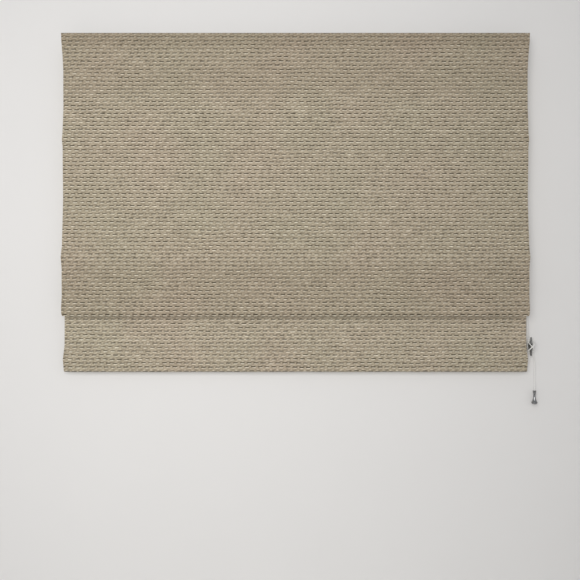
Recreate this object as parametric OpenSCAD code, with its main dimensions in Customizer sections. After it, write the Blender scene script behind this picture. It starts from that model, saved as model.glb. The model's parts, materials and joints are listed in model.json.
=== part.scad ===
// Roman blind on a headrail, half raised, with its lift cords, wall cleat and acorn.
// X points right as seen from the room, Y points to the wall and Z points up.
// The origin is the centre of the four bracket screws, on the wall's face.

/* [Cloth] */
// Width of the face fabric
blind_w = 1200; // [900:10:1500]
// Height of the fabric's top edge above the headrail
top_cover = 5; // [4:0.5:12]
// Drop from the fabric's top edge to the top rod
top_drop = 273; // [200:1:320]
// Drop from the top rod to the middle rod
rod_drop = 302; // [240:1:340]
// Drop from the middle rod to the bottom of the fold
fold_drop = 149; // [110:1:170]
// Drop from the middle rod to the bottom rod behind it
rod_stack = 26; // [26:1:40]
// Drop from the bottom rod to the bottom of the hem
flap_drop = 271; // [200:1:320]
// Thickness of the cloth in the grooves of its weave
cloth_t = 1.4; // [1:0.1:2]
// Height of the woven ridges
ridge_h = 0.9; // [0.4:0.1:1.4]
// Height of one woven row
row_pitch = 10.3; // [8:0.1:14]
// Share of a row that its groove takes
groove_share = 0.2; // [0.1:0.05:0.4]
// Depth of the fold, from its rear layer to its front layer
fold_depth = 15.4; // [12:0.1:22]
// Inner radius of the fold's lip
fold_r = 2; // [1.8:0.1:4]
// Height of the hem's pocket
hem_h = 31; // [30:1:45]
// Thickness of the lining
lining_t = 0.7; // [0.4:0.1:1.2]
// Distance of the lining's side from the fabric's side
lining_inset = 26; // [20:1:50]

/* [Rods and bar] */
// Diameter of a rod
rod_d = 4; // [3:0.5:6]
// Distance of a rod's end from the fabric's side
rod_inset = 12; // [8:1:16]
// Wall of a rod's end cap
rod_cap_wall = 1; // [0.8:0.1:1.2]
// Length of rod inside its end cap
rod_cap_l = 8; // [5:1:10]
// Height of the bottom bar
bar_h = 25; // [18:1:26]
// Thickness of the bottom bar
bar_t = 3; // [2:0.5:5]
// Distance of the bottom bar's end from the fabric's side
bar_inset = 12; // [8:1:30]
// Wall of the bar's end caps
bar_cap_wall = 0.8; // [0.6:0.1:1.2]
// Length of bar inside its end cap
bar_cap_l = 12; // [8:1:20]

/* [Rings and lift cords] */
// Bore of a ring
ring_bore = 12; // [11:0.5:14]
// Thickness of a ring's wire
ring_wire = 1.8; // [1.4:0.1:2.2]
// Distance of the outer lift cords from the middle one
column_gap = 480; // [400:5:520]
// Diameter of a lift cord
cord_d = 1.8; // [1.4:0.1:2]
// Distance between the lift cords inside the rail
lane = 2.2; // [2.1:0.1:2.4]
// Place of the exit cords to the right of the middle
exit_x = 572; // [540:1:575]

/* [Headrail] */
// Height of the headrail
rail_h = 30; // [28:1:36]
// Depth of the headrail
rail_d = 26; // [24:1:32]
// Wall of the headrail
rail_wall = 1.4; // [1:0.1:1.8]
// Radius of the headrail's outer corners
rail_round = 1.2; // [0.6:0.1:1.8]
// Width of the lips along the rail's open top
lip_w = 5; // [4:0.5:6]
// Distance of the rail's end from the fabric's side
rail_inset = 6; // [4:1:10]
// Gap between the headrail and the wall
rail_gap = 9; // [8:0.5:15]
// Thickness of the rail's end plates
end_plate_t = 2; // [1.5:0.1:3]
// Length of an end cap's plug inside the rail
plug_l = 9; // [6:1:10]
// Wall of an end cap's plug
plug_wall = 1.6; // [1.2:0.1:2]
// Height of the hook and loop tapes
tape_h = 25; // [20:1:27]
// Thickness of each tape
tape_t = 1.2; // [0.8:0.1:1.6]

/* [Brackets] */
// Distance of each bracket from the middle
bracket_x = 350; // [200:5:420]
// Width of a bracket
bracket_w = 24; // [22:1:40]
// Thickness of a bracket
bracket_t = 2; // [1.5:0.1:2.5]
// Outer radius of a bracket's bend
bracket_bend = 4.5; // [3:0.5:6]
// Radius of a bracket's corners
bracket_round = 4; // [2:0.5:6]
// Distance between a bracket's two screw holes
screw_gap = 22; // [16:1:24]
// Diameter of a bracket's screw holes
screw_hole_d = 5; // [4:0.1:6]
// Distance of the bracket's top from the upper screw hole
bracket_top = 9; // [7:0.5:14]
// Diameter of the lock's shaft
lock_shaft_d = 8; // [6:0.5:9]
// Length of the lock's tongue
tongue_l = 21; // [18:0.5:22]
// Width of the lock's tongue
tongue_w = 10; // [9:0.5:11]
// Thickness of the tongue and of the lever
lock_t = 2; // [1.6:0.1:2.4]
// Reach of the lock's lever from its shaft's centre
lever_l = 17; // [13:0.5:18]

/* [Pulleys] */
// Diameter of a pulley's groove
groove_d = 12; // [10:0.5:13]
// Height of a pulley's flanges above its groove
flange_h = 2.5; // [2.2:0.1:3]
// Thickness of a pulley's flanges
flange_t = 1; // [0.8:0.1:1.4]
// Diameter of a pulley's pin
pin_d = 4; // [3:0.1:4.5]
// Height of the pulleys' pins above the rail's floor
pin_z = 12.6; // [11.8:0.1:13]
// Thickness of a cradle's walls
cradle_wall = 1.8; // [1.4:0.1:2]
// Length of a cradle
cradle_l = 30; // [28:1:36]

/* [Cord connector] */
// Drop from the rail's underside to the connector's top
connector_drop = 12; // [8:1:16]
// Diameter of the connector
connector_d = 13; // [12:0.5:16]
// Height of each half of the connector
connector_h = 15; // [13:0.5:18]
// Wall of the connector
connector_wall = 1.4; // [1:0.1:1.6]

/* [Cleat and acorn] */
// Place of the cleat to the right of the middle
cleat_x = 613; // [610:1:640]
// Place of the cleat's middle below the origin
cleat_drop = 783; // [780:1:850]
// Length of the cleat from tip to tip
cleat_l = 49; // [46:1:60]
// Thickness of a horn at its root
horn_d = 6.4; // [5.5:0.1:6.8]
// Thickness of a horn at its tip
horn_tip_d = 4.4; // [3.6:0.1:5]
// Height of the horns' centre off the wall
horn_y = 14; // [13.5:0.1:14.5]
// Width of the cleat's stem
stem_w = 8; // [7:0.1:8.4]
// Length of the cleat's stem
stem_l = 19; // [16:0.5:19.5]
// Thickness of the cleat's foot
foot_t = 2.4; // [1.6:0.1:3]
// Width of the cleat's foot around its stem
foot_rim = 2; // [1:0.1:2.4]
// Distance between the cleat's two screw holes
cleat_screw_gap = 11; // [8:0.5:11]
// Diameter of the cleat's screw holes
cleat_hole_d = 3.4; // [3:0.1:4]
// Diameter of the pull cord
pull_d = 2; // [1.6:0.1:2]
// Height of the acorn
acorn_h = 35; // [30:1:40]
// Largest diameter of the acorn
acorn_d = 15.6; // [13:0.2:16]
// Diameter of the acorn's waist
acorn_waist = 5.4; // [5:0.2:7]
// Diameter of the acorn's top
acorn_top_d = 8.4; // [6:0.2:9]
// Wall of the acorn's hollow foot
acorn_wall = 1.8; // [1.4:0.1:2.4]

/* [Hidden] */
$fn = 48;
cloth_gap = 0.3;
run_gap = 0.3;
pin_fit = 0.05;
seat_fit = 0.02;
plug_fit = 0.15;
cord_fit = 0.2;
overcut = 1;

columns = ["left", "middle", "right"];
levels = ["top", "middle", "bottom"];
sides = ["left", "right"];
stations = concat(columns, ["exit"]);

// Heights of the headrail, from the brackets that it hangs under
rail_top = screw_gap / 2 + bracket_top - bracket_t;
rail_bottom = rail_top - rail_h;
rail_floor = rail_bottom + rail_wall;
rail_l = blind_w - 2 * rail_inset;
rail_front = -rail_gap - rail_d;
cord_y = -rail_gap - rail_d / 2;
inner_d = rail_d - 2 * rail_wall;

// Layers of cloth, counted from the fabric's back
full_t = cloth_t + ridge_h;
pocket_inner_r = rod_d / 2 + cloth_gap;
pocket_r = pocket_inner_r + lining_t;
rod_seat = cloth_gap + lining_t / 2 + pocket_r;
ring_r = (ring_bore + ring_wire) / 2;
ring_outer_r = ring_bore / 2 + ring_wire;
ring_seat = rod_seat + pocket_r + run_gap + ring_outer_r;

// Where the rings let the cloth hang: the top rod behind the cords, the middle rod ahead of them
top_ring_back = 0.9;
middle_ring_ahead = 2.4;
top_ring_y = cord_y + top_ring_back;
middle_ring_y = cord_y - middle_ring_ahead;

// Heights of the cloth
cloth_top = rail_top + top_cover;
top_z = cloth_top - top_drop;
middle_z = top_z - rod_drop;
bottom_z = middle_z - rod_stack;
fold_z = middle_z - fold_drop + fold_r + full_t;
crease_r = full_t + cloth_gap / 2;
crease_z = bottom_z - crease_r - rod_seat;
hem_r = bar_t / 2 + bar_cap_wall + cloth_gap;
hem_z = bottom_z - flap_drop + hem_r + full_t;

// Depths of the fabric's back
tape_back = rail_front - 2 * tape_t;
cloth_back = tape_back - cloth_gap;
top_back = top_ring_y - ring_seat;
middle_back = middle_ring_y - ring_seat;
rear_back = cord_y - crease_r;
lip_back = rear_back - fold_depth;
flap_back = cord_y + crease_r;

// The fold's rear layer leans from the lip's arc to the crease
lip_centre = [lip_back + fold_r, fold_z];
rear_top = [rear_back, crease_z];
lip_to_top = rear_top - lip_centre;
lip_end = atan2(lip_to_top[1], lip_to_top[0]) - acos(fold_r / norm(lip_to_top));

// The fabric's back as lines and arcs, from the top edge to the end of the hem.
// A line holds its two ends. An arc holds its centre, its radius and its two angles.
cloth_path = [
    [[cloth_back, cloth_top], [top_back, top_z]],
    [[top_back, top_z], [middle_back, middle_z]],
    [[middle_back, middle_z], [lip_back, fold_z]],
    [lip_centre, fold_r, 180, 360 + lip_end],
    [lip_centre + fold_r * [cos(lip_end), sin(lip_end)], rear_top],
    [[cord_y, crease_z], crease_r, 180, 0],
    [[flap_back, crease_z], [flap_back, hem_z]],
    [[flap_back + hem_r, hem_z], hem_r, 180, 360],
    [[flap_back + 2 * hem_r, hem_z], [flap_back + 2 * hem_r, hem_z + hem_h]],
];
is_arc = [for (p = cloth_path) len(p) == 4];
piece_len = [
    for (i = [0:len(cloth_path) - 1]) let (p = cloth_path[i])
        is_arc[i] ? p[1] * abs(p[3] - p[2]) * PI / 180 : norm(p[1] - p[0])
];
function sum_to(v, n) = n <= 0 ? 0 : v[n - 1] + sum_to(v, n - 1);
piece_start = [for (i = [0:len(cloth_path)]) sum_to(piece_len, i)];
cloth_l = piece_start[len(cloth_path)];
last_piece = len(cloth_path) - 1;

// The piece of the path at a length, the point there and the way to the fabric's face
function piece_at(s, i = 0) = i >= last_piece || s < piece_start[i + 1] ? i : piece_at(s, i + 1);
function share(s, i) = (s - piece_start[i]) / piece_len[i];
function angle(s, i) = cloth_path[i][2] + share(s, i) * (cloth_path[i][3] - cloth_path[i][2]);
function turn(i) = cloth_path[i][3] > cloth_path[i][2] ? 1 : -1;
function ray(a) = [cos(a), sin(a)];
function point(s, i) = let (p = cloth_path[i])
    is_arc[i] ? p[0] + p[1] * ray(angle(s, i)) : p[0] + share(s, i) * (p[1] - p[0]);
function line_way(p) = (p[1] - p[0]) / norm(p[1] - p[0]);
function face_way(s, i) = let (p = cloth_path[i])
    is_arc[i] ? turn(i) * ray(angle(s, i)) : [line_way(p)[1], -line_way(p)[0]];
function cloth_point(s, out) = let (i = piece_at(s)) point(s, i) + out * face_way(s, i);

// The weave's ridges: each row swells between two grooves
row_steps = 8;
ridge_curve = 0.6;
function ridge(s) = let (u = s / row_pitch - floor(s / row_pitch))
    u < groove_share ? 0 : pow(sin(180 * (u - groove_share) / (1 - groove_share)), ridge_curve);
arc_steps = 12;
function face_point(s) = cloth_point(s, cloth_t + ridge_h * ridge(s));
function least_steps(i) = is_arc[i] && turn(i) > 0 ? arc_steps : 1;
function face_steps(i) = max(ceil(piece_len[i] * row_steps / row_pitch), least_steps(i));
face_line = concat(
    [for (i = [0:last_piece]) for (k = [0:face_steps(i) - 1])
        face_point(piece_start[i] + piece_len[i] * k / face_steps(i))],
    [face_point(cloth_l)]
);

// Lengths along the path where a smooth line parallel to it needs points
path_marks = [
    for (i = [0:last_piece]) for (k = [0:(is_arc[i] ? arc_steps : 1) - 1])
        piece_start[i] + piece_len[i] * k / (is_arc[i] ? arc_steps : 1)
];
function marks(from, to) = concat([from], [for (m = path_marks) if (m > from && m < to) m], [to]);
function parallel(from, to, out) = [for (s = marks(from, to)) cloth_point(s, out)];
function backwards(v) = [for (i = [len(v) - 1:-1:0]) v[i]];

// The lining runs from under the tape to above the hem
tape_z = (rail_top + rail_bottom) / 2 - tape_h / 2;
lining_from = cloth_top - tape_z + cloth_gap;
lining_to = piece_start[7] - hem_h - cloth_gap;
lining_w = blind_w - 2 * lining_inset;

// Rods from top to bottom, as depth and height
rod_places = [
    [top_back + rod_seat, top_z],
    [middle_back + rod_seat, middle_z],
    [cord_y, bottom_z],
];
rod_l = blind_w - 2 * rod_inset;
ring_centres = [
    [top_ring_y, top_z],
    [middle_ring_y, middle_z],
    [cord_y, bottom_z + pocket_r + run_gap + ring_outer_r],
];
tied_z = ring_centres[2][1] + ring_r;
tie_r = (ring_wire + cord_d) / 2 + cord_fit;

// Pulleys and the way of the cords over them
run_r = groove_d / 2 + cord_fit + cord_d / 2;
axle_z = rail_floor + pin_z;
cord_x = [-column_gap, 0, column_gap];
cord_lane = [cord_y - lane, cord_y, cord_y + lane];
pulley_x = concat([for (x = cord_x) x + run_r], [exit_x - run_r]);
drop_side = [-1, -1, -1, 1];
drum_w = 2 * lane + cord_d + 2 * cord_fit;
pulley_w = drum_w + 2 * flange_t;
cheek_in = pulley_w / 2 + run_gap;
cheek_out = cheek_in + cradle_wall;
cheek_rim = 2.8;
cheek_r = pin_d / 2 + cheek_rim;
hole_room = 1;
cord_hole_x = cord_d + 2 * hole_room;
cord_hole_y = drum_w + 2 * cord_fit;
collar_wall = 1.2;
collar_reach = 1.2;
pin_head_t = 1;
pin_head_rim = 1;

// Connector under the exit
connector_top_z = rail_bottom - connector_drop;
connector_seam = connector_top_z - connector_h;
connector_foot = connector_seam - connector_h;
cord_end = connector_top_z - connector_h / 2;
spigot_h = 3;
pull_fit = 0.3;

// The pull cord's way: taut to the cleat, two turns on it, then down to the acorn
cleat_z = -cleat_drop;
cleat_at = [cleat_x, 0, cleat_z];
taut_points = [
    [572, -22, -52],
    [572, -22, -60],
    [577, -20, -150],
    [589, -16, -380],
    [601, -12, -620],
    cleat_at + [-8.5, -11, 63],
    cleat_at + [-7, -10, 24],
    cleat_at + [-7, -9.5, 6],
    cleat_at + [-6.5, -8.5, -4],
    cleat_at + [-4.5, -7.6, -10],
];
hang_points = [
    cleat_at + [3.5, -6.2, -18.5],
    cleat_at + [7.4, -6.8, -23],
    cleat_at + [9.6, -8, -32],
    [623.5, -9, -832],
    [623.5, -9, -860],
    [623.5, -9, -890],
    [623.5, -9, -921.5],
    [623.5, -9, -924],
    [623.5, -9, -928],
];
wrap_turns = 2;
turn_steps = 16;
wrap_reach = 13;
wrap_reach_step = 2.2;
wrap_w = 5;
wrap_w_step = 1.8;
wrap_depth = 4.9;
wrap_stack = 2.2;
wrap_points = [
    for (k = [0:wrap_turns * turn_steps])
        let (t = k / turn_steps, a = 180 + 360 * t)
        let (out = cos(2 * a) > 0 ? wrap_depth : wrap_depth + 2 * wrap_stack * t)
        cleat_at + [
            (wrap_w + wrap_w_step * t) * sin(2 * a),
            -horn_y + out * cos(2 * a),
            (wrap_reach + wrap_reach_step * t) * cos(a)
        ]
];
pull_points = concat(taut_points, wrap_points, hang_points);
pull_sides = 8;
pull_side_way = [0.28, 0.96, 0];
knot_points = 2;
knot_r = 2.2;

// Acorn on the cord's end
acorn_at = [623.5, -9, -898];
acorn_bore_d = pull_d + 2 * pull_fit;
acorn_waist_z = 0.37;
acorn_belly_z = 0.89;
acorn_hollow_z = 0.55;
acorn_round = 0.45;
acorn_flare = 2.2;
acorn_steps = 28;

fabric_colour = [0.57, 0.52, 0.44];
lining_colour = [0.87, 0.85, 0.80];
metal_colour = [0.80, 0.80, 0.80];
steel_colour = [0.72, 0.73, 0.74];
chrome_colour = [0.85, 0.85, 0.86];
cord_colour = [0.93, 0.93, 0.90];
plastic_colour = [0.94, 0.94, 0.93];
clear_colour = [0.88, 0.90, 0.90];
rod_colour = [0.93, 0.93, 0.88];

// A depth and height outline drawn along X
module along_x(l) {
    rotate([90, 0, 90]) linear_extrude(l, center = true) children();
}

// A rectangle from one corner to the other
module box2(low, high) {
    translate(low) square(high - low);
}

// A rectangle from one corner to the other, with round corners
module round_box2(low, high, r) {
    box2(low + [r, 0], high - [r, 0]);
    box2(low + [0, r], high - [0, r]);
    for (x = [low[0] + r, high[0] - r]) for (y = [low[1] + r, high[1] - r])
        translate([x, y]) circle(r);
}

// A slot with round ends, its length along Y
module slot2(w, l) {
    square([w, l - w], center = true);
    for (s = [-1, 1]) translate([0, s * (l - w) / 2]) circle(d = w);
}

// A round wire bent to a ring about Z
module wire_ring(r, wire) {
    rotate_extrude() translate([r, 0]) circle(d = wire);
}

module face_fabric() {
    back_line = parallel(0, cloth_l, 0);
    color(fabric_colour) along_x(blind_w) polygon(concat(face_line, backwards(back_line)));
}

module lining() {
    near_side = parallel(lining_from, lining_to, -cloth_gap);
    far_side = parallel(lining_from, lining_to, -cloth_gap - lining_t);
    color(lining_colour) difference() {
        union() {
            along_x(lining_w) polygon(concat(near_side, backwards(far_side)));
            for (p = rod_places) along_x(lining_w) translate(p) circle(pocket_r);
        }
        for (p = rod_places) along_x(lining_w + overcut) translate(p) circle(pocket_inner_r);
    }
}

module rod(i) {
    color(rod_colour) along_x(rod_l) translate(rod_places[i]) circle(d = rod_d);
}

module rod_caps(i) {
    outer = rod_d + 2 * (rod_cap_wall + seat_fit);
    color(plastic_colour) for (s = [0, 1]) mirror([s, 0, 0]) translate([rod_l / 2, 0, 0]) difference() {
        translate([(rod_cap_wall - rod_cap_l) / 2, 0, 0])
            along_x(rod_cap_l + rod_cap_wall) translate(rod_places[i]) circle(d = outer);
        translate([-rod_cap_l / 2, 0, 0])
            along_x(rod_cap_l) translate(rod_places[i]) circle(d = rod_d + 2 * seat_fit);
    }
}

// The rings of the two upper rods lie flat round the cords, and the lowest hang upright from them
module rings(i) {
    tied = i == 2;
    color(clear_colour) for (c = [0:2])
        translate([cord_x[c], tied ? cord_lane[c] : ring_centres[i][0], ring_centres[i][1]])
            rotate([0, tied ? 90 : 0, 0]) wire_ring(ring_r, ring_wire);
}

module bottom_bar() {
    color(metal_colour) translate([0, flap_back + hem_r, hem_z + bar_cap_wall + bar_h / 2])
        cube([blind_w - 2 * bar_inset, bar_t, bar_h], center = true);
}

module bar_caps() {
    grow = 2 * bar_cap_wall;
    end_x = blind_w / 2 - bar_inset;
    color(plastic_colour) for (s = [0, 1]) mirror([s, 0, 0])
        translate([end_x, flap_back + hem_r, hem_z + bar_cap_wall + bar_h / 2]) difference() {
            translate([(bar_cap_wall - bar_cap_l) / 2, 0, 0])
                cube([bar_cap_l + bar_cap_wall, bar_t + grow, bar_h + grow], center = true);
            translate([-(bar_cap_l + overcut) / 2, 0, 0])
                cube([bar_cap_l + overcut, bar_t + 2 * seat_fit, bar_h + 2 * seat_fit], center = true);
        }
}

// The hole in a cradle's floor that a cord drops through, with room added all round
module cord_hole(i, room, low, high) {
    translate([pulley_x[i] + drop_side[i] * run_r, cord_y, low])
        linear_extrude(high - low) slot2(cord_hole_x + 2 * room, cord_hole_y + cord_hole_x + 2 * room);
}

module headrail() {
    mouth_w = inner_d / 2 - lip_w;
    color(metal_colour) difference() {
        along_x(rail_l) difference() {
            round_box2([rail_front, rail_bottom], [-rail_gap, rail_top], rail_round);
            box2([cord_y - inner_d / 2, rail_floor], [cord_y + inner_d / 2, rail_top - rail_wall]);
            box2([cord_y - mouth_w, rail_floor], [cord_y + mouth_w, rail_top + overcut]);
        }
        for (i = [0:3])
            cord_hole(i, collar_wall + seat_fit, rail_bottom - overcut, rail_floor + overcut);
    }
}

module rail_end(s) {
    low = [cord_y - inner_d / 2 + plug_fit, rail_floor + plug_fit];
    high = [cord_y + inner_d / 2 - plug_fit, rail_top - rail_wall - plug_fit];
    wall = [plug_wall, plug_wall];
    color(plastic_colour) mirror([s == 0 ? 1 : 0, 0, 0]) {
        translate([(rail_l + end_plate_t) / 2, 0, 0])
            along_x(end_plate_t) round_box2([rail_front, rail_bottom], [-rail_gap, rail_top], rail_round);
        translate([(rail_l - plug_l) / 2, 0, 0]) along_x(plug_l) difference() {
            box2(low, high);
            box2(low + wall, high - wall);
        }
    }
}

module hook_tape() {
    color("white") along_x(rail_l) box2([rail_front - tape_t, tape_z], [rail_front, tape_z + tape_h]);
}

module loop_tape() {
    color("white") along_x(rail_l) box2([tape_back, tape_z], [tape_back + tape_t, tape_z + tape_h]);
}

// An angle screwed to the wall, with the rail held under its upper leg
module bracket(s) {
    leg_bottom = -screw_gap / 2 - bracket_top;
    leg_top = rail_top + bracket_t;
    leg_front = rail_front + rail_wall;
    half_w = bracket_w / 2;
    past = bracket_round + overcut;
    color(steel_colour) translate([(2 * s - 1) * bracket_x, 0, 0]) difference() {
        intersection() {
            along_x(bracket_w) {
                box2([-bracket_t, leg_bottom], [0, leg_top - bracket_bend]);
                box2([leg_front, rail_top], [-bracket_bend, leg_top]);
                translate([-bracket_bend, leg_top - bracket_bend]) intersection() {
                    difference() {
                        circle(bracket_bend);
                        circle(bracket_bend - bracket_t);
                    }
                    square(bracket_bend);
                }
            }
            translate([0, overcut, 0]) rotate([90, 0, 0]) linear_extrude(2 * overcut - leg_front)
                round_box2([-half_w, leg_bottom], [half_w, leg_top + past], bracket_round);
            translate([0, 0, leg_bottom - overcut]) linear_extrude(leg_top - leg_bottom + 2 * overcut)
                round_box2([-half_w, leg_front], [half_w, past], bracket_round);
        }
        for (z = [-1, 1]) translate([0, overcut, z * screw_gap / 2])
            rotate([90, 0, 0]) cylinder(bracket_t + 2 * overcut, d = screw_hole_d);
        translate([0, cord_y, rail_top - overcut])
            cylinder(bracket_t + 2 * overcut, d = lock_shaft_d + 2 * pin_fit);
    }
}

// A tongue under the rail's lips, turned by a short lever above the bracket
module bracket_lock(s) {
    tongue_top = rail_top - rail_wall - run_gap;
    lever_z = rail_top + bracket_t + run_gap;
    color(plastic_colour) translate([(2 * s - 1) * bracket_x, cord_y, 0]) {
        translate([0, 0, tongue_top - lock_t]) intersection() {
            cylinder(lock_t, d = tongue_l);
            translate([-tongue_w / 2, -tongue_l / 2, 0]) cube([tongue_w, tongue_l, lock_t]);
        }
        translate([0, 0, tongue_top - lock_t])
            cylinder(lever_z - tongue_top + 2 * lock_t, d = lock_shaft_d);
        translate([(lever_l - lock_shaft_d / 2) / 2, 0, lever_z]) linear_extrude(lock_t)
            rotate(90) slot2(lock_shaft_d, lever_l + lock_shaft_d / 2);
    }
}

module cradle(i) {
    floor_w = inner_d - 2 * plug_fit;
    color(plastic_colour) difference() {
        union() {
            translate([pulley_x[i] - cradle_l / 2, cord_y - floor_w / 2, rail_floor])
                cube([cradle_l, floor_w, cradle_wall]);
            for (s = [-1, 1]) translate([pulley_x[i], cord_y + s * (cheek_in + cheek_out) / 2, rail_floor])
                rotate([90, 0, 0]) linear_extrude(cradle_wall, center = true) {
                    translate([0, pin_z]) circle(cheek_r);
                    translate([-cheek_r, 0]) square([2 * cheek_r, pin_z]);
                }
            cord_hole(i, collar_wall, rail_bottom - collar_reach, rail_floor + cradle_wall);
        }
        cord_hole(i, 0, rail_bottom - collar_reach - overcut, rail_floor + cradle_wall + overcut);
        translate([pulley_x[i], cord_y, axle_z]) rotate([90, 0, 0])
            cylinder(2 * cheek_out + overcut, d = pin_d + 2 * seat_fit, center = true);
    }
}

module pulley(i) {
    color(plastic_colour) translate([pulley_x[i], cord_y, axle_z]) rotate([90, 0, 0]) difference() {
        union() {
            cylinder(pulley_w, d = groove_d, center = true);
            for (s = [-1, 1]) translate([0, 0, s * (pulley_w - flange_t) / 2])
                cylinder(flange_t, d = groove_d + 2 * flange_h, center = true);
        }
        cylinder(pulley_w + overcut, d = pin_d + 2 * pin_fit, center = true);
    }
}

module pulley_pin(i) {
    color(steel_colour) translate([pulley_x[i], cord_y - cheek_out, axle_z]) rotate([-90, 0, 0]) {
        cylinder(2 * cheek_out, d = pin_d);
        translate([0, 0, -pin_head_t]) cylinder(pin_head_t, d = pin_d + 2 * pin_head_rim);
    }
}

// A quarter bend of cord about a pulley, from one angle to the next
module cord_bend(x, y, from) {
    translate([x, y, axle_z]) rotate([90, 0, 0]) rotate(from)
        rotate_extrude(angle = 90) translate([run_r, 0]) circle(d = cord_d);
}

// Tied to the lowest ring, up to its pulley, along the rail and down to the connector
module lift_cord(c) {
    y = cord_lane[c];
    exit_pulley = pulley_x[3];
    color(cord_colour) {
        translate([cord_x[c], y, tied_z]) rotate([90, 0, 0]) wire_ring(tie_r, cord_d);
        translate([cord_x[c], y, tied_z + tie_r]) cylinder(axle_z - tied_z - tie_r, d = cord_d);
        cord_bend(pulley_x[c], y, 90);
        translate([pulley_x[c], y, axle_z + run_r]) rotate([0, 90, 0])
            cylinder(exit_pulley - pulley_x[c], d = cord_d);
        cord_bend(exit_pulley, y, 0);
        translate([exit_x, y, cord_end]) cylinder(axle_z - cord_end, d = cord_d);
    }
}

// The upper half takes the lift cords, and pulls off the lower half's spigot
module connector_upper() {
    r = connector_d / 2;
    mouth = lane + cord_d / 2 + 2 * cord_fit;
    color(clear_colour) translate([exit_x, cord_y, 0]) rotate_extrude() difference() {
        polygon([
            [0, connector_seam], [r, connector_seam], [r, connector_top_z - r / 2],
            [mouth + connector_wall, connector_top_z], [0, connector_top_z]
        ]);
        box2([0, connector_seam - overcut], [r - connector_wall, connector_top_z - r / 2]);
        box2([0, connector_seam], [mouth, connector_top_z + overcut]);
    }
}

module connector_lower() {
    r = connector_d / 2;
    spigot_r = r - connector_wall - pull_fit;
    mouth = pull_d / 2 + pull_fit;
    color(clear_colour) translate([exit_x, cord_y, 0]) rotate_extrude() difference() {
        polygon([
            [0, connector_foot], [mouth + connector_wall, connector_foot], [r, connector_foot + r],
            [r, connector_seam], [spigot_r, connector_seam], [spigot_r, connector_seam + spigot_h],
            [0, connector_seam + spigot_h]
        ]);
        box2([0, connector_foot + r], [spigot_r - connector_wall, connector_seam + spigot_h + overcut]);
        box2([0, connector_foot - overcut], [mouth, connector_seam]);
    }
}

// A foot, a stem drilled for two screws and two tapered horns
module cleat() {
    horn_l = cleat_l / 2 - horn_tip_d / 2;
    color(steel_colour) translate(cleat_at) difference() {
        union() {
            rotate([90, 0, 0]) linear_extrude(foot_t) slot2(stem_w + 2 * foot_rim, stem_l + 2 * foot_rim);
            rotate([90, 0, 0]) linear_extrude(horn_y) slot2(stem_w, stem_l);
            for (s = [0, 1]) mirror([0, 0, s]) translate([0, -horn_y, 0]) {
                cylinder(horn_l, d1 = horn_d, d2 = horn_tip_d);
                translate([0, 0, horn_l]) sphere(d = horn_tip_d);
            }
        }
        for (s = [-1, 1]) translate([0, overcut, s * cleat_screw_gap / 2]) rotate([90, 0, 0])
            cylinder(horn_y + horn_d + overcut, d = cleat_hole_d);
    }
}

// The acorn's outside narrows from its top to its waist, flares to its rim and rounds in
function between(u, from, to) = (u - from) / (to - from);
function ease(a, b, t) = a + (b - a) * (1 - cos(180 * t)) / 2;
function flare(a, b, t) = a + (b - a) * pow(t, acorn_flare);
function acorn_r(u) =
    u < acorn_waist_z ? ease(acorn_top_d, acorn_waist, between(u, 0, acorn_waist_z)) / 2 :
    u < acorn_belly_z ? flare(acorn_waist, acorn_d, between(u, acorn_waist_z, acorn_belly_z)) / 2 :
    acorn_d / 2 * sqrt(1 - acorn_round * pow(between(u, acorn_belly_z, 1), 2));

module acorn() {
    outside = [for (k = [0:acorn_steps]) [acorn_r(k / acorn_steps), -acorn_h * k / acorn_steps]];
    hollow_r = acorn_r(1) - acorn_wall;
    color(chrome_colour) translate(acorn_at) rotate_extrude() difference() {
        polygon(concat([[0, 0]], outside, [[0, -acorn_h]]));
        box2([0, -acorn_h - overcut], [acorn_bore_d / 2, overcut]);
        polygon([
            [0, -acorn_h - overcut], [hollow_r, -acorn_h - overcut], [hollow_r, -acorn_h * acorn_belly_z],
            [acorn_bore_d / 2, -acorn_h * acorn_hollow_z], [0, -acorn_h * acorn_hollow_z]
        ]);
    }
}

// A round tube swept along points, with a thicker knot at its last points
module tube(points, d) {
    last = len(points) - 1;
    function way(i) = let (v = points[min(i + 1, last)] - points[max(i - 1, 0)]) v / norm(v);
    function across(w) = let (v = cross(w, pull_side_way)) v / norm(v);
    function ring_at(i) = let (w = way(i), u = across(w), v = cross(w, u))
        let (r = i > last - knot_points ? knot_r : d / 2)
        [for (k = [0:pull_sides - 1]) let (a = 360 * k / pull_sides)
            points[i] + r * (cos(a) * u + sin(a) * v)];
    function corner(i, k) = i * pull_sides + k % pull_sides;
    walls = [
        for (i = [0:last - 1]) for (k = [0:pull_sides - 1])
            [corner(i, k), corner(i + 1, k), corner(i + 1, k + 1), corner(i, k + 1)]
    ];
    ends = [
        [for (k = [0:pull_sides - 1]) corner(0, k)],
        [for (k = [pull_sides - 1:-1:0]) corner(last, k)]
    ];
    polyhedron([for (i = [0:last]) each ring_at(i)], concat(walls, ends));
}

module pull_cord() {
    color(cord_colour) tube(pull_points, pull_d);
}

headrail();
hook_tape();
loop_tape();
face_fabric();
lining();
bottom_bar();
bar_caps();
connector_upper();
connector_lower();
pull_cord();
cleat();
acorn();
for (s = [0, 1]) {
    rail_end(s);
    bracket(s);
    bracket_lock(s);
}
for (i = [0:3]) {
    cradle(i);
    pulley(i);
    pulley_pin(i);
}
for (i = [0:2]) {
    lift_cord(i);
    rod(i);
    rod_caps(i);
    rings(i);
}
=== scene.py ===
import json
import math

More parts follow.
